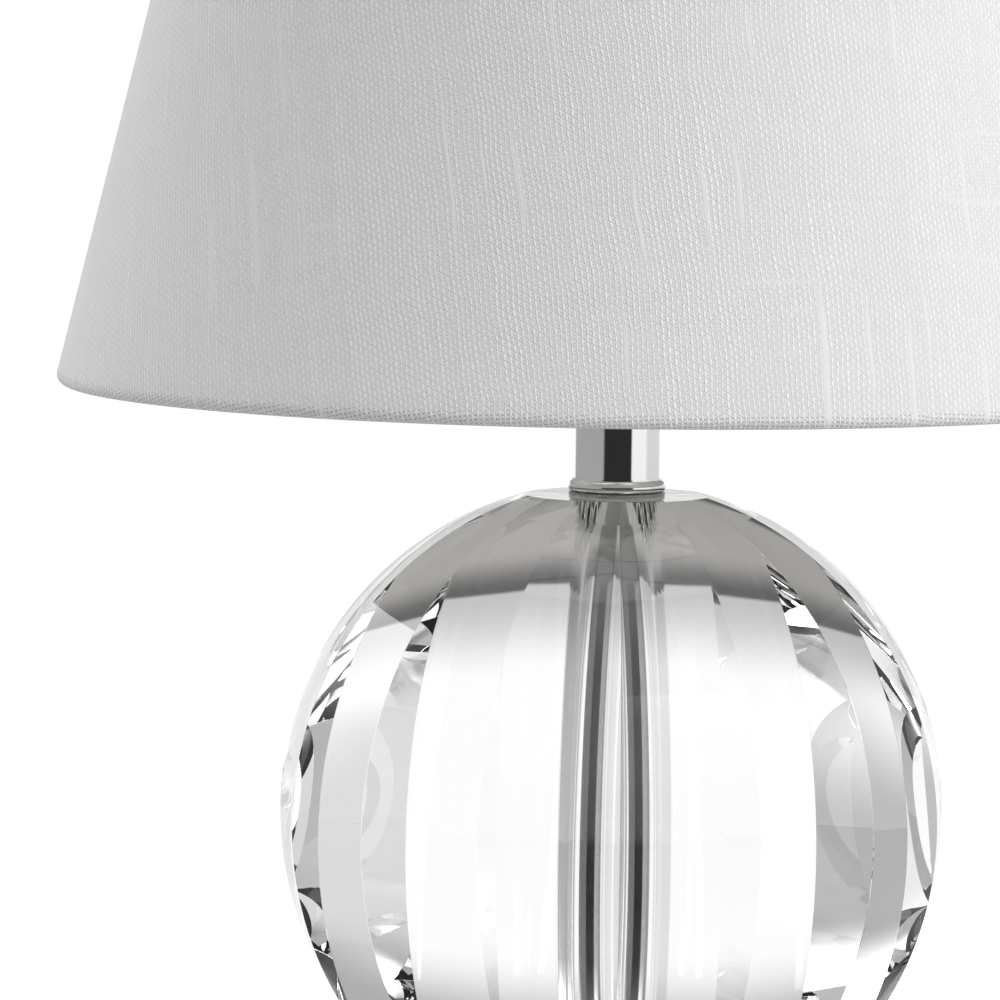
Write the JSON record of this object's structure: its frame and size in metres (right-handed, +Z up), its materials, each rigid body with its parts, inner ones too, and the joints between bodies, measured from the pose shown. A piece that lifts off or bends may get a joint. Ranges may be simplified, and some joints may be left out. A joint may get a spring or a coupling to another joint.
{
  "type": "table lamp",
  "caption": "Table lamp with a tapered linen shade on a harp, and a cut crystal ball stem on a round chrome foot.",
  "frame": {"origin": "centre of the foot's underside, on the table", "axes": "+Z up along the lamp's axis; the switch faces -Y and the cord inlet faces +Y; the harp lies in the XZ plane"},
  "size_m": [0.3301, 0.3302, 0.4949],
  "materials": {
    "chrome": "bright chrome plate",
    "crystal": "clear cut crystal, polished",
    "clear_plastic": "clear soft plastic",
    "nickel": "nickel-plated steel, satin",
    "zinc_steel": "zinc-plated steel",
    "bright_steel": "bright polished steel",
    "white_wire": "white powder coat",
    "linen": "off-white linen weave with slubs",
    "liner": "white styrene, satin",
    "felt": "dark grey felt",
    "brass": "plain brass",
    "black_plastic": "black moulded phenolic",
    "card": "brown fibre card",
    "bulb_cap": "nickel-plated lamp cap",
    "bulb_white": "white moulding",
    "bulb_dome": "milky diffuser",
    "circuit_board": "white solder mask on aluminium"
  },
  "bodies": {
    "stem": {"felt_pad": "felt", "bottom_plate": "zinc_steel", "foot_shell": "chrome", "cord_grommet": "black_plastic", "foot_washer": "zinc_steel", "foot_nut": "zinc_steel", "lower_collar": "chrome", "lower_gasket": "clear_plastic", "crystal_ball": "crystal", "lamp_pipe": "bright_steel", "upper_gasket": "clear_plastic", "upper_collar": "chrome", "neck_tube": "chrome", "neck_cap": "chrome", "saddle": "nickel", "socket_cap": "nickel", "socket_set_screw": "zinc_steel", "socket_shell": "nickel", "socket_insulator": "card", "socket_body": "black_plastic", "terminal_screws": "brass", "socket_screw_shell": "brass", "socket_contact": "brass"},
    "harp": {"harp": "nickel"},
    "ferrule_left": {"ferrule_left": "nickel"},
    "ferrule_right": {"ferrule_right": "nickel"},
    "swivel": {"swivel_stud": "nickel"},
    "shade": {"shade_fabric": "linen", "shade_liner": "liner", "shade_bottom_ring": "white_wire", "shade_fitter": "white_wire"},
    "finial": {"finial_base": "chrome", "finial_ball": "crystal"},
    "switch": {"switch_knob": "black_plastic"},
    "bulb": {"bulb_contact": "brass", "bulb_insulator": "black_plastic", "bulb_screw": "bulb_cap", "bulb_housing": "bulb_white", "bulb_led_board": "circuit_board", "bulb_dome": "bulb_dome"}
  },
  "joints": [
    {"name": "harp_lift", "type": "slide", "parent": "stem", "child": "harp", "axis": [0, 0, 1], "range_m": [0, 0.02]},
    {"name": "ferrule_left_lift", "type": "slide", "parent": "harp", "child": "ferrule_left", "axis": [0, 0, 1], "range_m": [0, 0.011]},
    {"name": "ferrule_right_lift", "type": "slide", "parent": "harp", "child": "ferrule_right", "axis": [0, 0, 1], "range_m": [0, 0.011]},
    {"name": "shade_swivel", "type": "hinge", "parent": "harp", "child": "swivel", "pos_m": [0, 0, 0.45858], "axis": [0, 0, 1], "continuous": true},
    {"name": "shade_lift", "type": "slide", "parent": "swivel", "child": "shade", "axis": [0, 0, 1], "range_m": [0, 0.24]},
    {"name": "finial_lift", "type": "slide", "parent": "swivel", "child": "finial", "axis": [0, 0, 1], "range_m": [0, 0.3]},
    {"name": "switch_turn", "type": "hinge", "parent": "stem", "child": "switch", "pos_m": [0, -0.025, 0.29895], "axis": [0, -1, 0], "continuous": true},
    {"name": "bulb_lift", "type": "slide", "parent": "stem", "child": "bulb", "axis": [0, 0, 1], "range_m": [0, 0.028]}
  ],
  "couplings": [
    {"joint": "finial_lift", "follows": "shade_lift", "ratio": 1.25}
  ]
}
